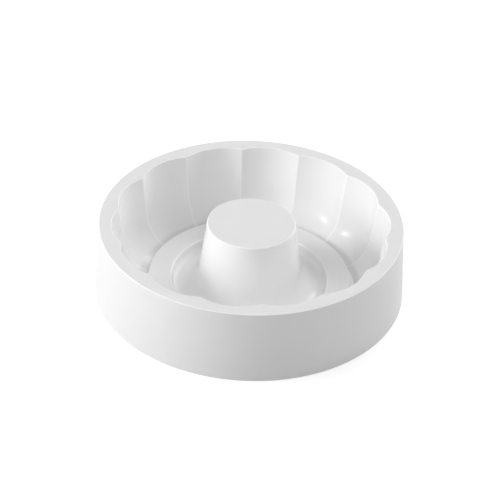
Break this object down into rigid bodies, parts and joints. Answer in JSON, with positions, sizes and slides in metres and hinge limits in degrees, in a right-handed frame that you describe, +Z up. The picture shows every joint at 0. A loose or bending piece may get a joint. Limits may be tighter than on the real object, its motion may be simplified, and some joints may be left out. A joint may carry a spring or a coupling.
{
  "type": "ring cake mould",
  "caption": "White silicone ring-cake mould: fluted ring cavity with a raised flat ledge on its floor and a closed conical core, hung from a flat rim inside a flared skirt.",
  "frame": {"origin": "centre of the plane that the skirt's foot stands on", "axes": "+Z up along the axis of the mould, towards the open cavity; +X through the crest of a flute"},
  "size_m": [0.226, 0.226, 0.0555],
  "materials": {
    "white_silicone": "white moulded silicone, satin in the cavity and matt on the rim and skirt"
  },
  "bodies": {
    "shell": {"top_rim": "white_silicone", "outer_skirt": "white_silicone", "fluted_wall": "white_silicone", "bowl_ring": "white_silicone"},
    "base": {"ledge_ring": "white_silicone", "core_flare": "white_silicone", "core_cone": "white_silicone", "core_cap": "white_silicone"}
  },
  "joints": [
    {"name": "base_press", "type": "slide", "parent": "shell", "child": "base", "axis": [0, 0, 1], "range_m": [0, 0.012], "stiffness_N_per_m": 1500}
  ]
}
